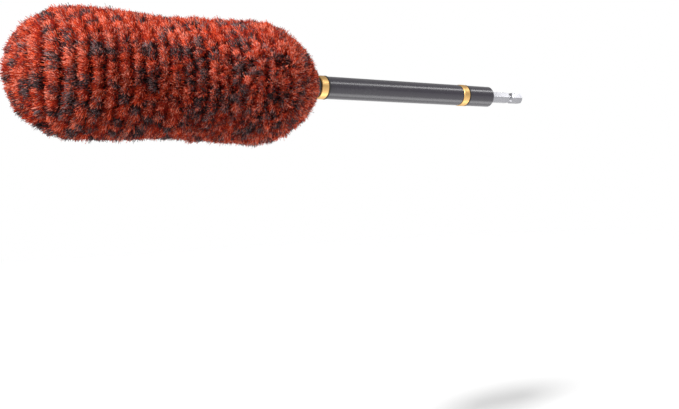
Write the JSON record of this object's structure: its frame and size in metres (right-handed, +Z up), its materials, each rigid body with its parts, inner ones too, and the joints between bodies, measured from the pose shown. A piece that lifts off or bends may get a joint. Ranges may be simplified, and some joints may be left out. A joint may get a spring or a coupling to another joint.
{
  "type": "wheel brush",
  "caption": "Drill-driven wheel brush: a soft cylindrical pile head on a twisted wire stem, a free-turning guide handle with gold end rings, and a hexagonal shank.",
  "frame": {"origin": "centre of the hexagonal shank's end face", "axes": "+X along the brush's axis, out of the shank's end towards the drill; the head is towards -X; +Z up, square to one pair of the shank's flats"},
  "size_m": [0.3279, 0.062, 0.062],
  "materials": {
    "tool_steel": "satin",
    "black_anodised": "gloss",
    "gold_brass": "polished",
    "black_rubber": "matte",
    "black_steel": "satin",
    "bearing_steel": "polished",
    "cage_brass": "satin",
    "stem_wire": "satin",
    "pile": "matte"
  },
  "bodies": {
    "drive": {"drive_spindle": "tool_steel", "rear_collar": "black_anodised", "collar_screws": "black_steel", "dust_washer": "black_rubber", "rear_bush": "tool_steel", "race_spacer": "tool_steel", "preload_spring": "tool_steel", "front_bush": "tool_steel", "rear_inner_race": "bearing_steel", "front_inner_race": "bearing_steel", "stem_socket": "black_steel", "socket_pin": "tool_steel", "socket_screws": "black_steel", "neck_boot": "black_rubber", "stem_wire": "stem_wire", "tip_guard": "black_rubber", "fibre_pile": "pile"},
    "guide": {"guide_sleeve": "black_anodised", "front_ring": "gold_brass", "rear_ring": "gold_brass", "front_gasket": "black_rubber", "rear_gasket": "black_rubber", "rear_outer_race": "bearing_steel", "front_outer_race": "bearing_steel", "rear_shields": "bearing_steel", "front_shields": "bearing_steel"},
    "rear_ball_set": {"rear_cage": "cage_brass", "rear_balls": "bearing_steel"},
    "front_ball_set": {"front_cage": "cage_brass", "front_balls": "bearing_steel"}
  },
  "joints": [
    {"name": "guide_spin", "type": "hinge", "parent": "drive", "child": "guide", "pos_m": [-0.1051, 0, 0], "axis": [1, 0, 0], "continuous": true},
    {"name": "rear_ball_orbit", "type": "hinge", "parent": "drive", "child": "rear_ball_set", "pos_m": [-0.0604, 0, 0], "axis": [1, 0, 0], "continuous": true},
    {"name": "front_ball_orbit", "type": "hinge", "parent": "drive", "child": "front_ball_set", "pos_m": [-0.1498, 0, 0], "axis": [1, 0, 0], "continuous": true}
  ],
  "couplings": [
    {"joint": "rear_ball_orbit", "follows": "guide_spin", "ratio": 0.575},
    {"joint": "front_ball_orbit", "follows": "guide_spin", "ratio": 0.575}
  ]
}
